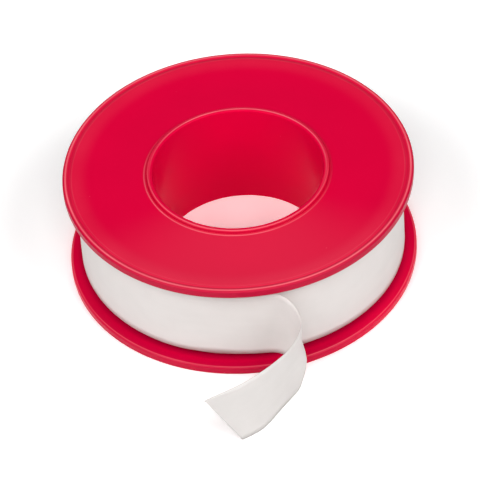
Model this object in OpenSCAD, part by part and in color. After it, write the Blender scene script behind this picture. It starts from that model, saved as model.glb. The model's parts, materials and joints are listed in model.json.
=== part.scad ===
// Roll of thread seal tape: a two-piece moulded spool, the tape wound on its hub and the tape's free end.
// The roll lies flat, as it does on a table: +Z is the spool's axis and the origin is the bore's lower end.

/* [Tape] */
// Width of the tape
tape_w = 12; // [10:0.5:20]
// Thickness of the film
tape_t = 0.1; // [0.08:0.01:0.16]
// Length of tape on the roll, in metres
tape_m = 12; // [8:0.5:16]

/* [Spool] */
// Diameter of the bore at its lower end, where it is narrowest
bore_d = 24.5; // [22:0.1:25.6]
// Length of the bore's straight stretch, below its draft
bore_land = 4; // [3:0.5:8]
// Wall of the hub that the tape is wound on, at its lower end
hub_wall = 2.05; // [2:0.05:2.8]
// Wall of the hub's lip, which stands proud of the upper flange
lip_wall = 0.5; // [0.4:0.05:0.8]
// Thickness of a flange at its rim
flange_t = 1.35; // [1.2:0.05:1.8]
// Height of the bead round a flange's outer face
bead_h = 0.4; // [0.3:0.05:0.6]
// Width of that bead
bead_w = 0.9; // [0.8:0.05:1.4]
// How far the flanges stand out past the wound tape
rim_reach = 1.78; // [1.6:0.02:3]

/* [Free end] */
// Direction from the axis to the place where the tape leaves the roll, in degrees
peel_angle = -88.5; // [-130:0.5:-50]
// Length of the free end along its upper edge
tail_len = 28.9; // [25:0.1:34]
// How much shorter the lower edge is, because the end is cut at a slant
cut_slant = 5.8; // [2:0.2:8]
// Turn of the tight curl next to the roll, in degrees
curl_turn = 128; // [115:1:140]
// Turn of the gentle sweep after it, in degrees
sweep_turn = 26; // [10:1:45]
// How far the standing film leans outwards in the curl, in degrees
tail_lean = 12; // [6:1:14]

/* [Hidden] */
$fn = 180;

red_plastic = [0.84, 0.02, 0.2];
white_film = [0.93, 0.92, 0.9];

// Heights: the tape stands clear of both flanges, a little nearer the lower one
gap_below_tape = 1;
gap_above_tape = 1.2;
plate_t = flange_t - bead_h;
foot_z = flange_t + gap_below_tape;
seat_z = foot_z + tape_w + gap_above_tape;
rim_z = seat_z + flange_t;

// Radii: the wound tape fills a ring round the hub, and the flanges stand out past it
mm_per_m = 1000;
bore_r = bore_d / 2;
hub_r = bore_r + hub_wall;
pack_r = sqrt(hub_r * hub_r + tape_m * mm_per_m * tape_t / PI);
flange_r = pack_r + rim_reach;

// The hub ends in a spigot that the upper flange is pushed on, down to a shoulder. The spigot's lip stands a little
// higher than the flange's bead, and the bore opens out towards it by its draft
shoulder_w = 0.8;
seat_gap = 0.02;
lip_rise = 0.07;
lip_round = 0.14;
spigot_r = hub_r - shoulder_w;
spigot_z = rim_z + lip_rise;
mouth_r = spigot_r - lip_wall;
hole_round = 0.25;

// A flange's face is flat round the hub and rises towards the rim, where a fine groove parts it from the bead
dish_h = 0.9 * bead_h;
dish_w = 7;
groove_w = 0.45;
groove_d = 0.08;

// Roundings of a flange's rim and of the hub's root
crown_round = 0.28 * bead_w;
crown_land = 0.33 * bead_w;
edge_round = 0.35;
root_round = 0.3;

// The last layer winds over a plain core and clears it by a running gap
wrap_gap = 0.07;
wind_r = pack_r - tape_t;
core_r = wind_r - wrap_gap;
wrap_open = 12;
wrap_steps = 72;

// The free end: it curls, sinks past the lower flange until it stands on its edge, and sweeps round
curl_start = 0.5;
curl_len = 11.9;
sweep_start = 16.7;
sweep_len = 6;
sink_start = 2.9;
sink_len = 6.5;
lean_len = 25;
end_upright = 8.7;
upright_start = 12.2;
upright_len = 9.2;
stand_gap = 0.1;
tail_steps = 44;
tip_share = 0.97;

// Points on an arc about c, from angle a0 to angle a1
function arc(c, r, a0, a1, steps = 6) =
    [for (i = [0:steps]) let (a = a0 + (a1 - a0) * i / steps) c + r * [cos(a), sin(a)]];

// Smooth step from 0 to 1
function ease(u) = let (t = max(0, min(1, u))) t * t * (3 - 2 * t);

// Unit vector in plan
function heading_vector(a) = [cos(a), sin(a)];

// Section of a flange's rim, from its tape side (height 0) over the bead and the groove to the flat of its outer face
function rim_section(slope_steps = 8, rise_steps = 4, dish_steps = 8) =
    let (
        slope_r = flange_r - crown_round - crown_land,
        slope_w = bead_w - crown_round - crown_land,
        groove_r = flange_r - bead_w,
        dish_r = groove_r - groove_w,
        bottom = plate_t + dish_h - groove_d
    )
    concat(
        arc([flange_r - edge_round, edge_round], edge_round, -90, 0),
        arc([flange_r - crown_round, flange_t - crown_round], crown_round, 0, 90),
        [for (i = [0:slope_steps]) let (u = i / slope_steps)
            [slope_r - slope_w * u, bottom + (flange_t - bottom) * (1 + cos(180 * u)) / 2]],
        [for (i = [1:rise_steps]) let (u = i / rise_steps)
            [groove_r - groove_w * u, bottom + groove_d * (1 - cos(180 * u)) / 2]],
        [for (i = [1:dish_steps]) let (u = i / dish_steps)
            [dish_r - dish_w * u, plate_t + dish_h * (1 - u) * (1 - u)]]
    );

// Direction of the free end in plan, at a length s from the place where it leaves the roll
function tail_heading(s) =
    peel_angle + 90
    - curl_turn * ease((s - curl_start) / curl_len)
    - sweep_turn * ease((s - sweep_start) / sweep_len);

function tail_foot(s) = foot_z - (foot_z - stand_gap) * ease((s - sink_start) / sink_len);

// The slanted cut lifts the lower edge over the last stretch, to a tip that stays a little blunt
function cut_lift(s) = tape_w * max(0, min(tip_share, 1 - (tail_len - s) / cut_slant));

// A station of the strip: its place in plan, its direction and its length s along the free end
wrap_turn = 360 - wrap_open;
wrap_stations = [for (i = [0:wrap_steps - 1])
    let (a = peel_angle - wrap_turn * (1 - i / wrap_steps))
    [wind_r * heading_vector(a), a + 90, 0]];

tail_step = tail_len / tail_steps;
tail_stations = [for (i = 0, p = wind_r * heading_vector(peel_angle); i <= tail_steps;
    p = p + tail_step * heading_vector(tail_heading((i + 0.5) * tail_step)), i = i + 1)
    [p, tail_heading(i * tail_step), i * tail_step]];

stations = concat(wrap_stations, tail_stations);

// Lean of the standing film: it grows through the curl and goes back again towards the cut end
function film_lean(s) = tail_lean * ease(s / lean_len) - end_upright * ease((s - upright_start) / upright_len);

// A point of the strip at a height above its lower edge, on its inner face (side 0) or outer face (side 1)
function film_point(station, height, side) =
    let (
        outward = heading_vector(station[1] - 90),
        lean = film_lean(station[2]),
        plan = station[0] + side * tape_t * outward - height * sin(lean) * outward
    )
    [plan[0], plan[1], tail_foot(station[2]) + height * cos(lean)];

// The four corners of the strip's section at a station
function film_section(station) =
    let (low = cut_lift(station[2]))
    [film_point(station, low, 0), film_point(station, low, 1),
     film_point(station, tape_w, 1), film_point(station, tape_w, 0)];

// One unbroken strip through sections of four corners each
module strip(sections) {
    last = len(sections) - 1;
    sides = [for (i = [0:last - 1], k = [0:3]) let (
            a = 4 * i + k,
            b = 4 * i + (k + 1) % 4
        ) each [[a, b, b + 4], [a, b + 4, a + 4]]];
    start_cap = [[0, 3, 2], [0, 2, 1]];
    end_cap = [[4 * last, 4 * last + 1, 4 * last + 2], [4 * last, 4 * last + 2, 4 * last + 3]];
    polyhedron(points = [for (s = sections) each s], faces = concat(sides, start_cap, end_cap), convexity = 8);
}

// Least gap of the strip to itself, on points that lie further apart along it than the curl is wide
near_steps = ceil(curl_len / tail_step);
self_gap = min([for (i = [0:len(stations) - near_steps - 1], j = [i + near_steps:len(stations) - 1])
    norm(stations[i][0] - stations[j][0])]) - tape_t;
echo(str("Least gap of the tape's last layer to itself: ", self_gap, " mm"));
echo(str("Diameter of the flanges: ", 2 * flange_r, " mm"));

// Lower flange, hub and spigot in one moulding
module spool_body() {
    lower_rim = [for (p = rim_section()) [p[0], flange_t - p[1]]];
    outline = concat(
        [[bore_r, 0], [spigot_r, 0], [spigot_r, bead_h]],
        [for (i = [len(lower_rim) - 1:-1:0]) lower_rim[i]],
        arc([hub_r + root_round, flange_t + root_round], root_round, 270, 180),
        [[hub_r, seat_z], [spigot_r, seat_z]],
        arc([spigot_r - lip_round, spigot_z - lip_round], lip_round, 0, 90),
        arc([mouth_r + lip_round, spigot_z - lip_round], lip_round, 90, 180),
        [[bore_r, bore_land]]
    );
    color(red_plastic) rotate_extrude() polygon(outline);
}

// Upper flange, a separate disc with the same rim
module upper_flange() {
    hole_r = spigot_r + seat_gap;
    outline = concat(
        [[hole_r, 0]],
        rim_section(),
        arc([hole_r + hole_round, plate_t - hole_round], hole_round, 90, 180)
    );
    color(red_plastic) translate([0, 0, seat_z]) rotate_extrude() polygon(outline);
}

// The wound tape below its last layer
module tape_winding() {
    color(white_film) translate([0, 0, foot_z]) rotate_extrude()
        translate([hub_r, 0]) square([core_r - hub_r, tape_w]);
}

// The last layer of the tape and its free end
module tape_end() {
    color(white_film) strip([for (s = stations) film_section(s)]);
}

spool_body();
upper_flange();
tape_winding();
tape_end();
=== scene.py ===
"""Looks of a thread seal tape roll: a red spool of two mouldings, its wound tape and the tape's free end.

Lengths are in metres in the row frame: +Z is the spool's axis, z = 0 is the table and -Y faces the viewer.
"""
import json
import logging
from dataclasses import dataclass, field
from enum import Enum
from typing import Any, Optional

import bpy
import numpy as np
from mathutils import Matrix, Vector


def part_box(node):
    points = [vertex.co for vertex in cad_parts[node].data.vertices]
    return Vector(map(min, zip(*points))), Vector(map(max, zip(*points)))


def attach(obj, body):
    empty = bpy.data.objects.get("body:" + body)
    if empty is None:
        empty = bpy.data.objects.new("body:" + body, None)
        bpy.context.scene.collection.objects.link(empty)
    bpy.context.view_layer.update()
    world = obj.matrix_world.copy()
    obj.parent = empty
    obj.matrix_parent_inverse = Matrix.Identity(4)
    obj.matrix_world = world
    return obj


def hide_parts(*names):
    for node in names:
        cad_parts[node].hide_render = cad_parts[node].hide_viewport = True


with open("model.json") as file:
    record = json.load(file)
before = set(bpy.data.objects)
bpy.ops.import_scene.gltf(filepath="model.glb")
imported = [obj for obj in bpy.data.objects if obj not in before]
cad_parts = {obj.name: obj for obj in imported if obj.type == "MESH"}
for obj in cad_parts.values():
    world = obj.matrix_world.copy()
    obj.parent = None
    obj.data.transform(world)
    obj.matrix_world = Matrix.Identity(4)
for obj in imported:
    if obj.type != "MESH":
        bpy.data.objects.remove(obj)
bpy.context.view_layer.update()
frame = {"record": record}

MM = 0.001
LOG = logging.getLogger("tape_roll")

Array = np.ndarray
Colour = tuple[float, float, float]


class Body(Enum):
    """The bodies that a piece can ride on."""

    SPOOL = "spool"
    FREE_END = "free_end"


class Slot(Enum):
    """The record's material slots."""

    RED_PLASTIC = "red_plastic"
    WHITE_FILM = "white_film"


# Mesh tools


def ease(u: Array) -> Array:
    """Smooth step: 3u^2 - 2u^3 between 0 and 1, level outside."""
    t = np.clip(u, 0.0, 1.0)
    return t * t * (3.0 - 2.0 * t)


def grid_faces(rows: int, columns: int, close_rows: bool, close_columns: bool) -> Array:
    """Quads over a grid of points, each between two neighbouring rows and two neighbouring columns.

    Args:
        rows: number of rows of points.
        columns: number of points in a row.
        close_rows: whether the last row joins the first.
        close_columns: whether the last column joins the first.

    Returns:
        Point numbers of the quads, shape (quads, 4).
    """
    row, column = np.meshgrid(
        np.arange(rows if close_rows else rows - 1),
        np.arange(columns if close_columns else columns - 1),
        indexing="ij",
    )
    next_row = (row + 1) % rows
    next_column = (column + 1) % columns
    corners = [
        row * columns + column,
        row * columns + next_column,
        next_row * columns + next_column,
        next_row * columns + column,
    ]
    return np.stack(corners, axis=-1).reshape(-1, 4)


def signed_volume(points: Array, quads: Array) -> float:
    """Volume inside a closed mesh of quads, negative where its faces point inwards."""
    a, b, c, d = (points[quads[:, k]] for k in range(4))
    return float(np.sum(a * np.cross(b, c)) + np.sum(a * np.cross(c, d))) / 6.0


def make_piece(name: str, points: Array, quads: Array, uv: Optional[Array] = None) -> bpy.types.Object:
    """Puts a closed mesh of quads into the scene, smooth, with its faces pointing outwards.

    Args:
        name: name of the piece.
        points: places of its points, shape (points, 3).
        quads: point numbers of its faces, shape (quads, 4).
        uv: flat coordinates of each point, shape (points, 2), where a pattern follows the surface.

    Returns:
        The new object, at the origin.
    """
    if signed_volume(points, quads) < 0.0:
        quads = quads[:, ::-1]
    mesh = bpy.data.meshes.new(name)
    mesh.vertices.add(len(points))
    mesh.vertices.foreach_set("co", points.astype(np.float32).ravel())
    mesh.loops.add(quads.size)
    mesh.loops.foreach_set("vertex_index", quads.astype(np.int32).ravel())
    mesh.polygons.add(len(quads))
    mesh.polygons.foreach_set("loop_start", np.arange(0, quads.size, 4, dtype=np.int32))
    mesh.update(calc_edges=True)
    mesh.validate()
    mesh.shade_smooth()
    if uv is not None:
        layer = mesh.uv_layers.new(name="film")
        layer.data.foreach_set("uv", uv[quads.ravel()].astype(np.float32).ravel())
    piece = bpy.data.objects.new(name, mesh)
    bpy.context.scene.collection.objects.link(piece)
    return piece


@dataclass
class Section:
    """A closed outline in radius and height, gathered stretch by stretch.

    Straight stretches get a point a short way in from either end, so that smooth shading leaves them flat.
    """

    spacing: float = 1.0 * MM
    hold: float = 0.03 * MM
    arc_points: int = 8
    stretches: list[Array] = field(default_factory=list)

    def start(self, radius: float, height: float) -> "Section":
        """Sets the first point."""
        self.stretches.append(np.array([[radius, height]]))
        return self

    def line(self, radius: float, height: float) -> "Section":
        """Adds a straight stretch from the last point.

        Args:
            radius: radius of its end.
            height: height of its end.

        Returns:
            The section.
        """
        first = self.stretches[-1][-1]
        last = np.array([radius, height])
        length = float(np.linalg.norm(last - first))
        inner = np.linspace(self.hold, length - self.hold, max(2, int(length / self.spacing)))
        steps = np.concatenate([inner, [length]]) if length > 3.0 * self.hold else np.array([length])
        self.stretches.append(first + steps[:, None] / max(length, self.hold) * (last - first))
        return self

    def arc(self, radius: float, height: float, bend: float, begin: float, end: float) -> "Section":
        """Adds a straight stretch to an arc about (radius, height), and then the arc.

        Args:
            radius: radius of the arc's centre from the axis.
            height: height of the arc's centre.
            bend: radius of the arc itself.
            begin: angle of its first point, in degrees.
            end: angle of its last point, in degrees.

        Returns:
            The section.
        """
        angle = np.radians(np.linspace(begin, end, self.arc_points))
        points = np.stack([radius + bend * np.cos(angle), height + bend * np.sin(angle)], axis=1)
        return self.curve(points)

    def curve(self, points: Array) -> "Section":
        """Adds a straight stretch to the first of these points, and then the others.

        Args:
            points: points as radius and height, shape (points, 2).

        Returns:
            The section.
        """
        self.line(*points[0])
        self.stretches.append(points[1:])
        return self

    def closed(self) -> Array:
        """Closes the outline with a straight stretch.

        Returns:
            Points of the outline, each of them once, shape (points, 2).
        """
        self.line(*self.stretches[0][0])
        points = np.concatenate(self.stretches)[:-1]
        apart = np.linalg.norm(points - np.roll(points, 1, axis=0), axis=1)
        return points[apart > 1e-7]


def lathe(section: Array, steps: int) -> tuple[Array, Array]:
    """Turns an outline about the Z axis: (r, z) goes to (r cos a, r sin a, z) for every angle a of a turn.

    Args:
        section: closed outline, shape (points, 2).
        steps: number of angles.

    Returns:
        Points of the surface and its quads.
    """
    angle = np.linspace(0.0, 2.0 * np.pi, steps, endpoint=False)
    radius = section[:, 0][:, None]
    height = np.repeat(section[:, 1][:, None], steps, axis=1)
    points = np.stack([radius * np.cos(angle), radius * np.sin(angle), height], axis=-1)
    return points.reshape(-1, 3), grid_faces(len(section), steps, True, True)


# Shader tools

MIX_COLOUR_A = 6
MIX_COLOUR_B = 7
MIX_COLOUR_OUT = 2
NUMBER = "NodeSocketFloat"
VECTOR = "NodeSocketVector"


class NodeDesk:
    """A node tree to which nodes are added with their inputs set or linked in one call."""

    def __init__(self, tree: bpy.types.NodeTree) -> None:
        """Takes the tree that is to be filled."""
        self.tree = tree

    def add(
        self,
        kind: str,
        inputs: Optional[dict[Any, Any]] = None,
        settings: Optional[dict[str, Any]] = None,
    ) -> bpy.types.Node:
        """Adds a node.

        Args:
            kind: Blender's name of the node's type.
            inputs: input sockets by name or number, each with a value or an output socket to link.
            settings: properties of the node.

        Returns:
            The new node.
        """
        node = self.tree.nodes.new(kind)
        for key, value in (settings or {}).items():
            setattr(node, key, value)
        for key, value in (inputs or {}).items():
            if isinstance(value, bpy.types.NodeSocket):
                self.tree.links.new(value, node.inputs[key])
            else:
                node.inputs[key].default_value = value
        return node

    def math(self, operation: str, *values: Any) -> bpy.types.NodeSocket:
        """Adds a Math node over values or sockets and gives its output."""
        return self.add("ShaderNodeMath", dict(enumerate(values)), {"operation": operation}).outputs[0]

    def mix(self, factor: Any, a: Any, b: Any) -> bpy.types.NodeSocket:
        """Adds a mix of two colours and gives its output."""
        inputs = {0: factor, MIX_COLOUR_A: a, MIX_COLOUR_B: b}
        return self.add("ShaderNodeMix", inputs, {"data_type": "RGBA"}).outputs[MIX_COLOUR_OUT]

    def spread(self, value: Any, low: float, high: float) -> bpy.types.NodeSocket:
        """Maps 0 to 1 onto low to high."""
        return self.add("ShaderNodeMapRange", {"Value": value, "To Min": low, "To Max": high}).outputs[0]

    def band(self, value: Any, low: float, high: float) -> bpy.types.NodeSocket:
        """Maps low to high smoothly onto 0 to 1."""
        inputs = {"Value": value, "From Min": low, "From Max": high}
        return self.add("ShaderNodeMapRange", inputs, {"interpolation_type": "SMOOTHSTEP"}).outputs[0]


class SharedEffect:
    """A shader node group, made once and placed in each material that uses it."""

    def __init__(self, name: str, inputs: dict[str, str], outputs: tuple[str, ...]) -> None:
        """Makes an empty group.

        Args:
            name: name of the group.
            inputs: its inputs, each with a socket type.
            outputs: names of its outputs, all numbers.
        """
        self.tree = bpy.data.node_groups.new(name, "ShaderNodeTree")
        for key, kind in inputs.items():
            self.tree.interface.new_socket(name=key, in_out="INPUT", socket_type=kind)
        for key in outputs:
            self.tree.interface.new_socket(name=key, in_out="OUTPUT", socket_type=NUMBER)
        self.desk = NodeDesk(self.tree)
        self.given = self.desk.add("NodeGroupInput").outputs
        self.result = self.desk.add("NodeGroupOutput").inputs

    def noise(self, vector: Any, scale: Any, detail: float) -> bpy.types.NodeSocket:
        """Adds a noise texture to the group and gives its value."""
        inputs = {"Vector": vector, "Scale": scale, "Detail": detail}
        return self.desk.add("ShaderNodeTexNoise", inputs).outputs[0]

    def put(self, name: str, socket: bpy.types.NodeSocket) -> None:
        """Links a socket to one of the group's outputs."""
        self.tree.links.new(socket, self.result[name])

    def place(self, desk: NodeDesk, **inputs: Any) -> bpy.types.bpy_prop_collection:
        """Places the group in a material and gives its outputs."""
        return desk.add("ShaderNodeGroup", inputs, {"node_tree": self.tree}).outputs


class Effects:
    """The effects that the finishes share: grain, creases, specks, and rings and sectors about the axis."""

    def __init__(self) -> None:
        """Builds the groups."""
        self.grain = self._grain()
        self.marks = self._marks()
        self.specks = self._specks()
        self.ring = self._ring()
        self.sector = self._sector()

    @staticmethod
    def _grain() -> SharedEffect:
        """Fine noise for relief, and a much broader one for tone.

        Returns:
            The group.
        """
        inputs = {"Vector": VECTOR, "Scale": NUMBER, "Broad": NUMBER}
        effect = SharedEffect("fine_grain", inputs, ("Height", "Tone"))
        effect.put("Height", effect.noise(effect.given["Vector"], effect.given["Scale"], 3.0))
        effect.put("Tone", effect.noise(effect.given["Vector"], effect.given["Broad"], 2.0))
        return effect

    @staticmethod
    def _marks() -> SharedEffect:
        """Hairlines: a thin band round the middle value of a drawn-out noise, kept only in a few patches.

        Returns:
            The group.
        """
        inputs = {"Vector": VECTOR, "Scale": NUMBER, "Width": NUMBER, "Patches": NUMBER}
        effect = SharedEffect("handling_marks", inputs, ("Mask",))
        desk = effect.desk
        drawn = desk.add(
            "ShaderNodeMapping",
            {"Vector": effect.given["Vector"], "Rotation": (0.0, 0.0, 0.6), "Scale": (1.0, 0.08, 1.0)},
        )
        lines = effect.noise(drawn.outputs[0], effect.given["Scale"], 1.0)
        patches = effect.noise(effect.given["Vector"], desk.math("MULTIPLY", effect.given["Scale"], 0.6), 1.0)
        off_middle = desk.math("ABSOLUTE", desk.math("SUBTRACT", lines, 0.5))
        thin = desk.math("LESS_THAN", off_middle, effect.given["Width"])
        kept = desk.math("GREATER_THAN", patches, effect.given["Patches"])
        effect.put("Mask", desk.math("MULTIPLY", thin, kept))
        return effect

    @staticmethod
    def _specks() -> SharedEffect:
        """Dust: small dots round the points of a Voronoi pattern, kept only in a few patches.

        Returns:
            The group.
        """
        effect = SharedEffect("dust_specks", {"Vector": VECTOR, "Scale": NUMBER, "Size": NUMBER}, ("Mask",))
        desk = effect.desk
        inputs = {"Vector": effect.given["Vector"], "Scale": effect.given["Scale"]}
        away = desk.add("ShaderNodeTexVoronoi", inputs).outputs["Distance"]
        share = desk.math("DIVIDE", away, effect.given["Size"])
        dots = desk.math("SUBTRACT", 1.0, desk.band(share, 0.5, 1.0))
        patches = effect.noise(effect.given["Vector"], desk.math("MULTIPLY", effect.given["Scale"], 0.3), 1.0)
        effect.put("Mask", desk.math("MULTIPLY", dots, desk.math("GREATER_THAN", patches, 0.55)))
        return effect

    @staticmethod
    def _ring() -> SharedEffect:
        """A soft ring about the axis: 1 at a radius, falling to 0 a width away from it.

        Returns:
            The group.
        """
        effect = SharedEffect("axis_ring", {"Vector": VECTOR, "Radius": NUMBER, "Width": NUMBER}, ("Mask",))
        desk = effect.desk
        flat = desk.add(
            "ShaderNodeVectorMath", {0: effect.given["Vector"], 1: (1.0, 1.0, 0.0)}, {"operation": "MULTIPLY"}
        )
        length = desk.add("ShaderNodeVectorMath", {0: flat.outputs[0]}, {"operation": "LENGTH"})
        away = desk.math("ABSOLUTE", desk.math("SUBTRACT", length.outputs["Value"], effect.given["Radius"]))
        share = desk.math("DIVIDE", away, effect.given["Width"])
        effect.put("Mask", desk.math("SUBTRACT", 1.0, desk.band(share, 0.0, 1.0)))
        return effect

    @staticmethod
    def _sector() -> SharedEffect:
        """A soft sector about the axis: 1 along a heading in plan, 0 where the cosine to it falls to Low.

        Returns:
            The group.
        """
        effect = SharedEffect("axis_sector", {"Vector": VECTOR, "Heading": VECTOR, "Low": NUMBER}, ("Mask",))
        desk = effect.desk
        flat = desk.add(
            "ShaderNodeVectorMath", {0: effect.given["Vector"], 1: (1.0, 1.0, 0.0)}, {"operation": "MULTIPLY"}
        )
        unit = desk.add("ShaderNodeVectorMath", {0: flat.outputs[0]}, {"operation": "NORMALIZE"})
        along = desk.add(
            "ShaderNodeVectorMath",
            {0: unit.outputs[0], 1: effect.given["Heading"]},
            {"operation": "DOT_PRODUCT"},
        )
        effect.put("Mask", desk.band(along.outputs["Value"], effect.given["Low"], 1.0))
        return effect


def plan(heading: float) -> tuple[float, float, float]:
    """Unit vector in plan at a heading in degrees."""
    return (float(np.cos(np.radians(heading))), float(np.sin(np.radians(heading))), 0.0)


def new_material(name: str) -> tuple[bpy.types.Material, NodeDesk, bpy.types.Node]:
    """Makes a material with one Principled shader.

    Args:
        name: name of the material.

    Returns:
        The material, its desk and the shader node.
    """
    material = bpy.data.materials.new(name)
    material.use_nodes = True
    return material, NodeDesk(material.node_tree), material.node_tree.nodes["Principled BSDF"]


@dataclass(frozen=True)
class Ring:
    """A ring of the plastic: a painted highlight, a glossier coat along an edge, or painted shade in a
    groove, on a rim's side or under the tape.

    A ring with a heading is painted on the side of the axis where the light falls, and fades out on the
    other.
    """

    radius: float
    width: float
    share: float
    heading: Optional[float] = None
    fade: float = -0.5


@dataclass(frozen=True)
class MouldedPlastic:
    """Red moulded plastic: dull and faintly uneven in tone, glossier along some edges, with painted
    highlights on its edges, painted shade in grooves and under the tape, and painted sheen on the side
    towards the viewer.
    """

    name: str
    # Rings of painted highlight, rings of painted shade, and rings of real gloss.
    highlight_rings: tuple[Ring, ...]
    shade_rings: tuple[Ring, ...]
    glossy_rings: tuple[Ring, ...]
    # Painted sheen on the side towards the viewer: its share, heading and edge.
    painted_sheen: float = 0.0
    sheen_heading: float = -90.0
    sheen_edge: float = 0.4
    colour: Colour = (0.755, 0.0, 0.044)
    deep_colour: Colour = (0.705, 0.0, 0.040)
    # Colours of the painted highlights and of the painted shade.
    highlight_colour: Colour = (0.98, 0.19, 0.24)
    shade_colour: Colour = (0.40, 0.0, 0.03)
    roughness: float = 0.3
    specular: float = 0.1
    edge_roughness: float = 0.3
    roughness_spread: float = 0.05
    # Least share of a painted highlight where the random tone weakens it.
    least_highlight: float = 0.65
    grain_scale: float = 2600.0
    tone_scale: float = 110.0
    speck_scale: float = 420.0
    speck_size: float = 0.05
    speck_share: float = 0.25
    speck_relief: float = 0.5
    bump: float = 0.10
    bump_depth: float = 0.01 * MM

    def rings(self, desk: NodeDesk, effects: Effects, place: Any, rings: tuple[Ring, ...]) -> Any:
        """Strongest of several rings at each place.

        Args:
            desk: desk of the material.
            effects: the shared effects.
            place: socket with the place.
            rings: the rings.

        Returns:
            Socket with the share of the ring's colour.
        """
        strongest: Any = 0.0
        for ring in rings:
            mask = effects.ring.place(desk, Vector=place, Radius=ring.radius, Width=ring.width)["Mask"]
            if ring.heading is not None:
                side = effects.sector.place(desk, Vector=place, Heading=plan(ring.heading), Low=ring.fade)
                mask = desk.math("MULTIPLY", mask, side["Mask"])
            strongest = desk.math("MAXIMUM", strongest, desk.math("MULTIPLY", mask, ring.share))
        return strongest

    def material(self, effects: Effects) -> bpy.types.Material:
        """Builds the material.

        Args:
            effects: the shared effects.

        Returns:
            The material.
        """
        material, desk, shader = new_material(self.name)
        place = desk.add("ShaderNodeTexCoord").outputs["Object"]
        grain = effects.grain.place(desk, Vector=place, Scale=self.grain_scale, Broad=self.tone_scale)
        dust = effects.specks.place(desk, Vector=place, Scale=self.speck_scale, Size=self.speck_size)
        specks = dust["Mask"]
        # Painted sheen: the side of the face towards the viewer is lightened, standing in for a mirrored
        # bright wall.
        toward = plan(self.sheen_heading)
        painted_sheen = effects.sector.place(desk, Vector=place, Heading=toward, Low=self.sheen_edge)["Mask"]
        # Painted highlights: the highlight rings lighten the colour where edges catch the lamps, varying at
        # random along them; real pale dust specks are added.
        uneven = desk.spread(desk.band(grain["Tone"], 0.3, 0.7), self.least_highlight, 1.0)
        highlit = desk.math("MULTIPLY", self.rings(desk, effects, place, self.highlight_rings), uneven)
        pale = desk.math("MAXIMUM", highlit, desk.math("MULTIPLY", specks, self.speck_share))
        # Painted shade: the shade rings darken grooves, the rim's side and the plastic under the tape, and
        # keep the painted sheen off those places.
        shaded = self.rings(desk, effects, place, self.shade_rings)
        unshaded = desk.math("SUBTRACT", 1.0, shaded)
        pale = desk.math("ADD", pale, desk.math("MULTIPLY", painted_sheen, desk.math("MULTIPLY", unshaded, self.painted_sheen)))
        ground = desk.mix(grain["Tone"], (*self.deep_colour, 1.0), (*self.colour, 1.0))
        # Mix in the painted shade, then the painted highlights, painted sheen and dust specks.
        ground = desk.mix(shaded, ground, (*self.shade_colour, 1.0))
        colour = desk.mix(pale, ground, (*self.highlight_colour, 1.0))
        uneven_shine = desk.spread(grain["Tone"], -self.roughness_spread, self.roughness_spread)
        rough = desk.math("ADD", uneven_shine, self.roughness)
        relief = desk.math("ADD", grain["Height"], desk.math("MULTIPLY", specks, self.speck_relief))
        bump = desk.add(
            "ShaderNodeBump", {"Strength": self.bump, "Distance": self.bump_depth, "Height": relief}
        )
        desk.tree.links.new(colour, shader.inputs["Base Color"])
        desk.tree.links.new(rough, shader.inputs["Roughness"])
        desk.tree.links.new(self.rings(desk, effects, place, self.glossy_rings), shader.inputs["Coat Weight"])
        desk.tree.links.new(bump.outputs[0], shader.inputs["Normal"])
        shader.inputs["Coat Roughness"].default_value = self.edge_roughness
        shader.inputs["Specular IOR Level"].default_value = self.specular
        return material


@dataclass(frozen=True)
class TapeFilm:
    """White thread seal film: matt, soft, with faint streaks along its length."""

    colour: Colour = (0.75, 0.715, 0.695)
    streak_colour: Colour = (0.71, 0.675, 0.655)
    roughness: float = 0.62
    roughness_spread: float = 0.06
    specular: float = 0.25
    streak_stretch: float = 0.12
    streak_scale: float = 2400.0
    streak_broad: float = 700.0
    streak_share: float = 0.3
    grain_scale: float = 4200.0
    cloud_scale: float = 260.0
    cloud_share: float = 0.5
    crease_scale: float = 240.0
    crease_width: float = 0.004
    crease_patches: float = 0.6
    bump: float = 0.10
    bump_depth: float = 0.02 * MM

    def material(self, effects: Effects) -> bpy.types.Material:
        """Builds the material, which follows the film's own flat coordinates.

        Args:
            effects: the shared effects.

        Returns:
            The material.
        """
        material, desk, shader = new_material("white_seal_film")
        flat = desk.add("ShaderNodeUVMap", settings={"uv_map": "film"}).outputs[0]
        stretch = (self.streak_stretch, 1.0, 1.0)
        drawn = desk.add("ShaderNodeMapping", {"Vector": flat, "Scale": stretch}).outputs[0]
        streaks = effects.grain.place(desk, Vector=drawn, Scale=self.streak_scale, Broad=self.streak_broad)
        grain = effects.grain.place(desk, Vector=flat, Scale=self.grain_scale, Broad=self.cloud_scale)
        creases = effects.marks.place(
            desk, Vector=flat, Scale=self.crease_scale, Width=self.crease_width, Patches=self.crease_patches
        )
        tone = desk.math("MULTIPLY", desk.band(streaks["Tone"], 0.25, 0.8), self.streak_share)
        cloud = desk.math("MULTIPLY", desk.band(grain["Tone"], 0.3, 0.8), self.cloud_share)
        colour = desk.mix(desk.math("ADD", tone, cloud), (*self.colour, 1.0), (*self.streak_colour, 1.0))
        uneven_shine = desk.spread(grain["Height"], -self.roughness_spread, self.roughness_spread)
        rough = desk.math("ADD", uneven_shine, self.roughness)
        relief = desk.math("ADD", desk.math("ADD", streaks["Height"], grain["Height"]), creases["Mask"])
        bump = desk.add(
            "ShaderNodeBump", {"Strength": self.bump, "Distance": self.bump_depth, "Height": relief}
        )
        desk.tree.links.new(colour, shader.inputs["Base Color"])
        desk.tree.links.new(rough, shader.inputs["Roughness"])
        desk.tree.links.new(bump.outputs[0], shader.inputs["Normal"])
        shader.inputs["Specular IOR Level"].default_value = self.specular
        return material


# The roll


def bore_radius() -> float:
    """Radius of the bore, from the record's mount."""
    mount = next(m for m in frame["record"]["mounts"] if m["name"] == "bore")
    return mount["dims"]["r_mm"] * MM


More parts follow.
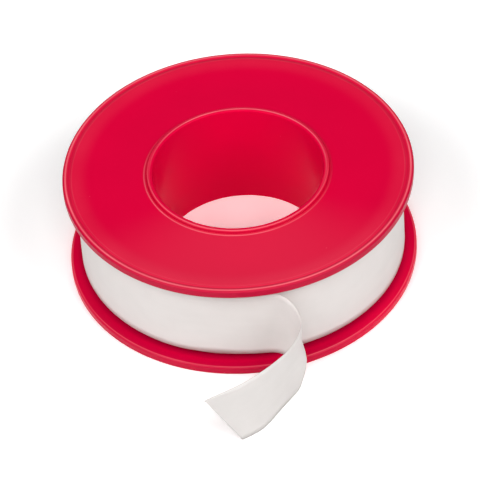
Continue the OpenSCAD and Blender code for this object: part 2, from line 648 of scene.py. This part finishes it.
@dataclass
class Spool:
    """The red spool: a body with the lower flange and the hub, and an upper flange pushed on its spigot."""

    bore_r: float
    flange_r: float
    seat_z: float
    top_z: float
    spigot_z: float
    hub_wall: float = 2.05 * MM
    shoulder_w: float = 0.8 * MM
    bore_land: float = 4.0 * MM
    lip_wall: float = 0.8 * MM
    lip_round: float = 0.14 * MM
    mouth_round: float = 0.28 * MM
    crevice: float = 0.01 * MM
    off_centre: float = 0.005 * MM
    off_angle: float = -130.0
    bead_h: float = 0.4 * MM
    bead_w: float = 0.9 * MM
    crown_share: float = 0.28
    land_share: float = 0.33
    groove_w: float = 0.45 * MM
    groove_d: float = 0.08 * MM
    dish_h: float = 0.36 * MM
    dish_w: float = 7.0 * MM
    edge_round: float = 0.35 * MM
    hole_round: float = 0.06 * MM
    root_round: float = 0.3 * MM
    warp: float = 0.03 * MM
    warp_turn: float = 0.7
    steps: int = 288

    @classmethod
    def from_frame(cls) -> "Spool":
        """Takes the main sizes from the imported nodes.

        Returns:
            The spool.
        """
        flange_low, flange_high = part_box("upper_flange")
        return cls(
            bore_r=bore_radius(),
            flange_r=flange_high.x,
            seat_z=flange_low.z,
            top_z=flange_high.z,
            spigot_z=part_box("spool_body")[1].z,
        )

    @property
    def flange_t(self) -> float:
        """Thickness of a flange at its rim."""
        return self.top_z - self.seat_z

    @property
    def plate_t(self) -> float:
        """Thickness of a flange inside its bead."""
        return self.flange_t - self.bead_h

    @property
    def hub_r(self) -> float:
        """Radius of the hub that the tape is wound on."""
        return self.bore_r + self.hub_wall

    @property
    def spigot_r(self) -> float:
        """Radius of the hub's end, which the upper flange is pushed on."""
        return self.hub_r - self.shoulder_w

    @property
    def crown_round(self) -> float:
        """Rounding of a bead's outer edge."""
        return self.crown_share * self.bead_w

    def outer_face(self) -> Array:
        """Outer face of a flange from its bead inwards: cosine slopes into and out of a groove, then a dish.

        Returns:
            Points as radius and height above the flange's tape side.
        """
        land_r = self.flange_r - (self.crown_share + self.land_share) * self.bead_w
        groove_r = self.flange_r - self.bead_w
        face_r = groove_r - self.groove_w
        edge = self.plate_t + self.dish_h
        bottom = edge - self.groove_d
        u = np.linspace(0.0, 1.0, 9)
        fall = bottom + (self.flange_t - bottom) * (1.0 + np.cos(np.pi * u)) / 2.0
        slope = np.stack([land_r + (groove_r - land_r) * u, fall], axis=1)
        rise = bottom + (edge - bottom) * (1.0 - np.cos(np.pi * u[1:])) / 2.0
        inner = np.stack([groove_r + (face_r - groove_r) * u[1:], rise], axis=1)
        sag = self.plate_t + self.dish_h * (1.0 - u[1:]) ** 2
        dish = np.stack([face_r - self.dish_w * u[1:], sag], axis=1)
        return np.concatenate([slope, inner, dish])

    def body_section(self) -> Array:
        """Outline of the spool body: bore, lower flange with its bead below, hub, shoulder and spigot.

        Returns:
            Points as radius and height, shape (points, 2).
        """
        crown = self.crown_round
        edge = self.edge_round
        root = self.root_round
        lip = self.lip_round
        mouth = self.mouth_round
        mouth_r = self.spigot_r - self.lip_wall
        face = self.outer_face()[::-1]
        face = np.stack([face[:, 0], self.flange_t - face[:, 1]], axis=1)
        section = Section().start(self.bore_r, 0.0)
        section.line(self.spigot_r, 0.0)
        section.line(self.spigot_r, self.bead_h)
        section.curve(face)
        section.arc(self.flange_r - crown, crown, crown, -90.0, 0.0)
        section.arc(self.flange_r - edge, self.flange_t - edge, edge, 0.0, 90.0)
        section.arc(self.hub_r + root, self.flange_t + root, root, 270.0, 180.0)
        section.line(self.hub_r, self.seat_z)
        section.line(self.spigot_r, self.seat_z)
        section.arc(self.spigot_r - lip, self.spigot_z - lip, lip, 0.0, 90.0)
        section.arc(mouth_r + mouth, self.spigot_z - mouth, mouth, 90.0, 180.0)
        section.line(self.bore_r, self.bore_land)
        return section.closed()

    def flange_section(self) -> Array:
        """Outline of the upper flange, which has the same rim and a rounded hole.

        Returns:
            Points as radius and height, shape (points, 2).
        """
        crown = self.crown_round
        edge = self.edge_round
        hole = self.hole_round
        hole_r = self.spigot_r + self.crevice
        section = Section().start(hole_r, 0.0)
        section.arc(self.flange_r - edge, edge, edge, -90.0, 0.0)
        section.arc(self.flange_r - crown, self.flange_t - crown, crown, 0.0, 90.0)
        section.curve(self.outer_face())
        section.arc(hole_r + hole, self.plate_t - hole, hole, 90.0, 180.0)
        return section.closed() + np.array([0.0, self.seat_z])

    def warped(self, points: Array) -> Array:
        """Bends the upper flange out of true, and sets its hole a little off the hub's centre.

        z sinks by a saddle that grows with the square of the radius; x and y shift by one step near the hole.

        Args:
            points: points of the piece.

        Returns:
            The bent points.
        """
        radius = np.hypot(points[:, 0], points[:, 1])
        angle = np.arctan2(points[:, 1], points[:, 0])
        reach = np.clip((radius - self.hub_r) / (self.flange_r - self.hub_r), 0.0, 1.0)
        turned = angle + 0.5 * self.warp_turn
        saddle = np.cos(2.0 * turned) + 0.5 * np.cos(3.0 * angle + 2.0 * self.warp_turn) - 1.5
        aside = self.off_centre * (1.0 - ease(2.0 * reach))
        bent = points.copy()
        bent[:, 0] += aside * np.cos(np.radians(self.off_angle))
        bent[:, 1] += aside * np.sin(np.radians(self.off_angle))
        bent[:, 2] += self.warp * reach**2 * saddle
        return bent

    def flange_finish(self) -> MouldedPlastic:
        """Finish of the upper flange: painted highlights on its bead, along its groove and round its hole,
        painted shade in its groove and on its rim's side, and painted sheen towards the viewer.

        Returns:
            The finish.
        """
        rim = self.flange_r
        # Painted highlights on the bead's crown, the groove's inner edge and, on the near side, the hole's
        # edge; a faint painted sheen over the band inside the rim.
        pale = (
            Ring(rim - 0.45 * MM, 0.22 * MM, 1.0),
            Ring(rim - 1.35 * MM, 0.24 * MM, 0.17),
            Ring(rim - 1.80 * MM, 2.40 * MM, 0.065),
            Ring(self.spigot_r + 0.42 * MM, 0.16 * MM, 0.90, heading=-115.0),
        )
        # Painted shade in the groove and on the rim's outer side.
        dark = (
            Ring(rim - 0.90 * MM, 0.24 * MM, 0.35),
            Ring(rim - 1.22 * MM, 0.22 * MM, 0.27),
            Ring(rim + 0.05 * MM, 0.42 * MM, 0.80),
        )
        glossy = (
            Ring(rim - 0.40 * MM, 0.30 * MM, 0.5),
            Ring(self.spigot_r + 0.26 * MM, 0.40 * MM, 1.0),
        )
        return MouldedPlastic("red_plastic_flange", pale, dark, glossy, painted_sheen=0.085)

    def body_finish(self) -> MouldedPlastic:
        """Finish of the spool body: painted highlights along its rim's and bore's edges, and painted shade at
        the tape's foot, on the lower flange's front and in the lip's crevice.

        Returns:
            The finish.
        """
        # Painted highlights on the lower flange's rim edge, on the lip's inner edge on the far side and on
        # its outer edge on the near side.
        pale = (
            Ring(self.flange_r - 0.26 * MM, 0.14 * MM, 0.40),
            Ring(self.spigot_r - 0.40 * MM, 0.18 * MM, 1.0, heading=75.0),
            Ring(self.spigot_r - 0.17 * MM, 0.14 * MM, 1.0, heading=-95.0),
        )
        glossy = (
            Ring(self.flange_r - 0.10 * MM, 0.30 * MM, 0.3),
            Ring(self.spigot_r - 0.20 * MM, 0.40 * MM, 1.0),
        )
        # Painted shade on the lower flange towards the front, under the tape's foot, and in the crevice
        # beside the lip on the near side.
        dark = (
            Ring(self.flange_r - 0.2 * MM, 2.4 * MM, 0.62, heading=-105.0, fade=0.3),
            Ring(self.flange_r - 2.8 * MM, 2.1 * MM, 0.85),
            Ring(self.spigot_r + 0.03 * MM, 0.08 * MM, 0.6, heading=-95.0, fade=0.3),
        )
        return MouldedPlastic(
            "red_plastic_body",
            pale,
            dark,
            glossy,
            colour=(0.785, 0.0, 0.047),
            deep_colour=(0.735, 0.0, 0.043),
            specular=0.04,
        )

    def build(self, effects: Effects) -> None:
        """Makes both mouldings and hands them to the spool's body.

        Args:
            effects: the shared effects.
        """
        points, quads = lathe(self.body_section(), self.steps)
        moulding = make_piece("spool_moulding", points, quads)
        self.hand_over(moulding, "spool_body", self.body_finish().material(effects))
        points, quads = lathe(self.flange_section(), self.steps)
        disc = make_piece("upper_flange_disc", self.warped(points), quads)
        self.hand_over(disc, "upper_flange", self.flange_finish().material(effects))

    @staticmethod
    def hand_over(piece: bpy.types.Object, node: str, material: bpy.types.Material) -> None:
        """Dresses a moulding, rides it on the spool and lets it stand for its node.

        Args:
            piece: the moulding.
            node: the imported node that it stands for.
            material: its finish.
        """
        piece.data.materials.append(material)
        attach(piece, Body.SPOOL.value)
        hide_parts(node)
        LOG.info("%s stands for %s, %d faces", piece.name, node, len(piece.data.polygons))


@dataclass
class Tape:
    """The tape: one long spiral on the hub, and its last layer with the free end that stands on the table."""

    hub_r: float
    core_r: float
    foot_z: float
    width: float
    thickness: float = 0.1 * MM
    wrap_gap: float = 0.07 * MM
    wrap_open: float = 5.0
    start_gap: float = 0.01 * MM
    start_len: float = 24.0 * MM
    start_share: float = 0.08
    peel_angle: float = -88.5
    tail_len: float = 28.9 * MM
    cut_slant: float = 5.8 * MM
    tip_share: float = 0.97
    curl_turn: float = 128.0
    curl_start: float = 0.5 * MM
    curl_len: float = 11.9 * MM
    sweep_turn: float = 26.0
    sweep_start: float = 16.7 * MM
    sweep_len: float = 6.0 * MM
    sink_start: float = 2.9 * MM
    sink_len: float = 6.5 * MM
    lean_turn: float = 12.0
    lean_len: float = 25.0 * MM
    upright_turn: float = 8.7
    upright_start: float = 12.2 * MM
    upright_len: float = 9.2 * MM
    stand_gap: float = 0.1 * MM
    tilt: float = 0.27 * MM
    lift: float = 0.35 * MM
    lift_angle: float = -101.0
    lift_spread: float = 9.0
    bulge_out: float = 0.9 * MM
    bulge_at: float = 8.2 * MM
    bulge_len: float = 3.2 * MM
    bulge_share: float = 0.3
    bulge_spread: float = 0.27
    wander: float = 0.05 * MM
    ripple: float = 0.05 * MM
    ripple_pitch: float = 1.7 * MM
    ripple_height: float = 4.0 * MM
    layer_fill: float = 0.88
    rows: int = 13
    turn_steps: int = 120
    wrap_steps: int = 240
    tail_steps: int = 160

    @classmethod
    def from_frame(cls, spool: Spool) -> "Tape":
        """Takes the pack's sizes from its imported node."""
        low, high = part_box("tape_winding")
        return cls(hub_r=spool.hub_r, core_r=high.x, foot_z=low.z, width=high.z - low.z)

    @property
    def wind_r(self) -> float:
        """Radius of the last layer's inner face."""
        return self.core_r + self.wrap_gap

    @property
    def turns(self) -> float:
        """Turns of the spiral between the hub and the last layer, ending where that layer begins."""
        return float(np.floor((self.core_r - self.hub_r) / self.thickness))

    def spiral(self) -> tuple[Array, Array, Array, float]:
        """The wound tape: r grows by one layer a turn, and the edges wander a little from layer to layer.

        Returns:
            Points, quads and flat coordinates of the strip, and its length.
        """
        steps = int(self.turns * self.turn_steps)
        turned = np.linspace(0.0, self.turns * 2.0 * np.pi, steps + 1)
        pitch = (self.core_r - self.hub_r) / self.turns
        angle = np.radians(self.peel_angle + self.wrap_open) + turned - turned[-1]
        thick = pitch * self.layer_fill
        inner = self.hub_r + (pitch - thick) + (self.core_r - self.hub_r - pitch) * turned / turned[-1]
        waves = np.sin(0.37 * turned) + 0.8 * np.sin(1.618 * turned + 1.0) + 0.6 * np.sin(0.061 * turned)
        foot = self.foot_z + self.wander * waves - self.tilt * np.cos(angle)
        radii = np.stack([inner, inner + thick, inner + thick, inner], axis=1)
        heights = np.stack([foot, foot, foot + self.width, foot + self.width], axis=1)
        points = np.stack([radii * np.cos(angle)[:, None], radii * np.sin(angle)[:, None], heights], axis=-1)
        along = np.concatenate([[0.0], np.cumsum(0.5 * (inner[1:] + inner[:-1]) * np.diff(turned))])
        uv = np.stack([np.repeat(along[:, None], 4, axis=1), heights - self.foot_z], axis=-1)
        sides = grid_faces(steps + 1, 4, False, True)
        caps = np.array([[0, 3, 2, 1], [4 * steps, 4 * steps + 1, 4 * steps + 2, 4 * steps + 3]])
        return points.reshape(-1, 3), np.concatenate([sides, caps]), uv.reshape(-1, 2), float(along[-1])

    def heading(self, s: Array) -> Array:
        """Direction of the free end in plan.

        Args:
            s: distances beyond the place where it leaves the roll.

        Returns:
            Headings in radians.
        """
        curl = self.curl_turn * ease((s - self.curl_start) / self.curl_len)
        sweep = self.sweep_turn * ease((s - self.sweep_start) / self.sweep_len)
        return np.radians(self.peel_angle + 90.0 - curl - sweep)

    def lean(self, s: Array) -> Array:
        """Lean of the standing film: it grows through the curl and goes back towards the cut end.

        Args:
            s: distances beyond the place where it leaves the roll.

        Returns:
            Leans in radians.
        """
        out = self.lean_turn * ease(s / self.lean_len)
        back = self.upright_turn * ease((s - self.upright_start) / self.upright_len)
        return np.radians(out - back)

    def begin(self, s: Array) -> Array:
        """Share of the last layer's full build: 0 where it starts flush with the pack, 1 further on."""
        return ease((s - s[0]) / self.start_len)

    def route(self) -> tuple[Array, Array, Array]:
        """Inner face of the last layer in plan: round the roll, then along the free end's summed headings.

        Returns:
            Distances s from the leaving place (negative on the roll), points in plan and headings in radians.
        """
        peel = np.radians(self.peel_angle)
        first = self.peel_angle - 360.0 + self.wrap_open
        wrap = np.radians(np.linspace(first, self.peel_angle, self.wrap_steps + 1)[:-1])
        behind = self.wind_r * (wrap - peel)
        radius = self.core_r + self.start_gap + (self.wrap_gap - self.start_gap) * self.begin(behind)
        on_roll = radius[:, None] * np.stack([np.cos(wrap), np.sin(wrap)], axis=1)
        s = np.linspace(0.0, self.tail_len, self.tail_steps + 1)
        step = s[1] - s[0]
        middle = self.heading(s[:-1] + 0.5 * step)
        start = self.wind_r * np.array([np.cos(peel), np.sin(peel)])
        strides = step * np.stack([np.cos(middle), np.sin(middle)], axis=1)
        free = start + np.concatenate([np.zeros((1, 2)), np.cumsum(strides, axis=0)])
        headings = np.concatenate([wrap + 0.5 * np.pi, self.heading(s)])
        return np.concatenate([behind, s]), np.concatenate([on_roll, free]), headings

    def foot(self, s: Array) -> Array:
        """Height of the lower edge: level on the roll, lifted before it leaves, then down to the table.

        Args:
            s: distances from the leaving place, negative on the roll.

        Returns:
            Heights.
        """
        sunk = (self.foot_z - self.stand_gap) * ease((s - self.sink_start) / self.sink_len)
        angle = self.peel_angle + np.degrees(s / self.wind_r)
        lifted = self.lift * np.exp(-(((angle - self.lift_angle) / self.lift_spread) ** 2))
        tilted = self.tilt * np.cos(np.radians(angle))
        return self.foot_z - sunk + (lifted - tilted) * (1.0 - ease(s / self.sink_start))

    def bulge(self, s: Array, height: Array) -> Array:
        """Bulge of the fold in the free end: a bell along the strip times a bell up its width.

        Args:
            s: distances from the leaving place.
            height: heights on the strip, a row of them for each distance.

        Returns:
            How far the film stands out on the fold's outer side.
        """
        along = np.exp(-(((s - self.bulge_at) / self.bulge_len) ** 2))
        up = np.exp(-(((height / self.width - self.bulge_share) / self.bulge_spread) ** 2))
        return self.bulge_out * along[:, None] * up

    def last_layer(self) -> tuple[Array, Array, Array, float]:
        """The last layer and the free end: a strip whose rows lean as it goes, closed round its edges.

        Returns:
            Points, quads and flat coordinates of the strip, and its length along the upper edge.
        """
        s, track, heading = self.route()
        low = self.width * np.clip(1.0 - (self.tail_len - s) / self.cut_slant, 0.0, self.tip_share)
        share = np.linspace(0.0, 1.0, self.rows)
        climb = low[:, None] + (self.width - low)[:, None] * share
        height = np.concatenate([climb, climb[:, ::-1]], axis=1)
        thick = self.thickness * (self.start_share + (1.0 - self.start_share) * self.begin(s))
        side = thick[:, None] * np.repeat([0.0, 1.0], self.rows)
        lean = self.lean(s)
        grown = self.ripple * np.sin(s / self.ripple_pitch) * ease((s - self.curl_len) / self.curl_len)
        ripple = grown[:, None] * np.cos(height / self.ripple_height + 0.6)
        outward = np.stack([np.sin(heading), -np.cos(heading)], axis=1)
        push = side + ripple - self.bulge(s, height) - height * np.sin(lean)[:, None]
        across = track[:, None, :] + push[:, :, None] * outward[:, None, :]
        up = self.foot(s)[:, None] + height * np.cos(lean)[:, None]
        points = np.concatenate([across, up[:, :, None]], axis=2)
        uv = np.stack([np.repeat(s[:, None], 2 * self.rows, axis=1), height], axis=-1)
        around = 2 * self.rows
        sides = grid_faces(len(s), around, False, True)
        k = np.arange(self.rows - 1)
        first = np.stack([k, around - 1 - k, around - 2 - k, k + 1], axis=1)
        last = first[:, ::-1] + (len(s) - 1) * around
        quads = np.concatenate([sides, first, last])
        return points.reshape(-1, 3), quads, uv.reshape(-1, 2), float(s[-1] - s[0])

    def build(self, effects: Effects) -> None:
        """Makes the wound tape and the last layer, and dresses both in film.

        Args:
            effects: the shared effects.
        """
        film = TapeFilm().material(effects)
        points, quads, uv, length = self.spiral()
        wound = make_piece("wound_tape", points, quads, uv)
        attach(wound, Body.SPOOL.value)
        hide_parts("tape_winding")
        points, quads, uv, length = self.last_layer()
        free = make_piece("free_tape_end", points, quads, uv)
        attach(free, Body.FREE_END.value)
        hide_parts("tape_end")
        for piece in (wound, free):
            piece.data.materials.append(film)
            LOG.info("%s has %d faces", piece.name, len(piece.data.polygons))


# The studio


def turned_to(right: Array, up: Array, back: Array, place: Array) -> Matrix:
    """Matrix of an object with these axes at this place.

    Args:
        right: its X axis.
        up: its Y axis.
        back: its Z axis.
        place: its origin.

    Returns:
        The matrix.
    """
    matrix = np.identity(4)
    matrix[:3, 0] = right
    matrix[:3, 1] = up
    matrix[:3, 2] = back
    matrix[:3, 3] = place
    return Matrix(matrix.tolist())


@dataclass
class Softbox:
    """A square area lamp that faces the roll."""

    name: str
    place: tuple[float, float, float]
    size: float
    watts: float

    def build(self) -> None:
        """Adds the lamp, turned to the roll's middle."""
        lamp = bpy.data.lights.new(self.name, "AREA")
        lamp.size = self.size
        lamp.energy = self.watts
        holder = bpy.data.objects.new(self.name, lamp)
        bpy.context.scene.collection.objects.link(holder)
        place = np.array(self.place)
        back = place / np.linalg.norm(place)
        right = np.cross([0.0, 1.0, 0.0], back)
        right = right / np.linalg.norm(right)
        holder.matrix_world = turned_to(right, np.cross(back, right), back, place)


@dataclass
class Studio:
    """White floor, soft light and the camera at the photograph's angle."""

    elevation: float = 43.62
    roll: float = -4.42
    distance: float = 600.0 * MM
    aim: tuple[float, float, float] = (-0.48 * MM, -4.91 * MM, 7.0 * MM)
    lens: float = 303.3
    floor_size: float = 6.0
    floor_drop: float = 0.02 * MM
    floor_bounce: float = 0.7
    floor_seen: float = 1.32
    wall_light: float = 0.5
    wall_top: tuple[float, float] = (0.28, 0.46)
    ceiling_light: float = 0.06
    softboxes: tuple[Softbox, ...] = (
        Softbox("right_softbox", (0.9, -0.63, 0.9), 0.9, 11.5),
        Softbox("left_softbox", (-0.9, -0.63, 0.9), 0.9, 11.5),
        Softbox("front_softbox", (0.0, -0.9, 1.07), 0.6, 6.0),
    )

    def camera(self) -> None:
        """Places the camera: it looks along +Y and down, rolled a little about its own axis."""
        theta = np.radians(self.elevation)
        roll = np.radians(self.roll)
        back = np.array([0.0, -np.cos(theta), np.sin(theta)])
        level = np.array([1.0, 0.0, 0.0])
        upright = np.array([0.0, np.sin(theta), np.cos(theta)])
        right = np.cos(roll) * level + np.sin(roll) * upright
        up = np.cos(roll) * upright - np.sin(roll) * level
        data = bpy.data.cameras.new("camera")
        data.lens = self.lens
        data.clip_start = 0.01
        camera = bpy.data.objects.new("camera", data)
        bpy.context.scene.collection.objects.link(camera)
        camera.matrix_world = turned_to(right, up, back, np.array(self.aim) + self.distance * back)
        bpy.context.scene.camera = camera

    def floor(self) -> None:
        """Lays the floor, which is seen and mirrored whiter than the light that it throws back."""
        half = 0.5 * self.floor_size
        corners = np.array([[-half, -half], [half, -half], [half, half], [-half, half]])
        mesh = bpy.data.meshes.new("floor")
        mesh.from_pydata([(x, y, -self.floor_drop) for x, y in corners], [], [(0, 1, 2, 3)])
        floor = bpy.data.objects.new("floor", mesh)
        bpy.context.scene.collection.objects.link(floor)
        material = bpy.data.materials.new("pale_floor")
        material.use_nodes = True
        desk = NodeDesk(material.node_tree)
        desk.tree.nodes.clear()
        rays = desk.add("ShaderNodeLightPath").outputs
        mirrored = desk.math("MAXIMUM", rays["Is Glossy Ray"], rays["Is Transmission Ray"])
        seen = desk.math("MAXIMUM", rays["Is Camera Ray"], mirrored)
        colour = desk.mix(seen, (*[self.floor_bounce] * 3, 1.0), (*[self.floor_seen] * 3, 1.0))
        diffuse = desk.add("ShaderNodeBsdfDiffuse", {"Color": colour})
        desk.add("ShaderNodeOutputMaterial", {"Surface": diffuse.outputs[0]})
        mesh.materials.append(material)

    def world(self) -> None:
        """Sets pale walls all round under a dark ceiling."""
        world = bpy.data.worlds.new("studio_walls")
        world.use_nodes = True
        desk = NodeDesk(world.node_tree)
        desk.tree.nodes.clear()
        direction = desk.add("ShaderNodeTexCoord").outputs["Generated"]
        height = desk.add("ShaderNodeSeparateXYZ", {0: direction}).outputs["Z"]
        room = desk.spread(desk.band(height, *self.wall_top), self.wall_light, self.ceiling_light)
        sky = desk.add("ShaderNodeBackground", {"Color": (1.0, 1.0, 1.0, 1.0), "Strength": room})
        desk.add("ShaderNodeOutputWorld", {"Surface": sky.outputs[0]})
        bpy.context.scene.world = world

    def build(self) -> None:
        """Sets up floor, light and camera."""
        bpy.context.scene.view_settings.view_transform = "Standard"
        self.floor()
        self.world()
        for softbox in self.softboxes:
            softbox.build()
        self.camera()


def main() -> None:
    """Builds the spool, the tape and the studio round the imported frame."""
    logging.basicConfig(level=logging.INFO, format="%(name)s: %(message)s")
    effects = Effects()
    spool = Spool.from_frame()
    spool.build(effects)
    Tape.from_frame(spool).build(effects)
    Studio().build()


if __name__ == "__main__":
    main()
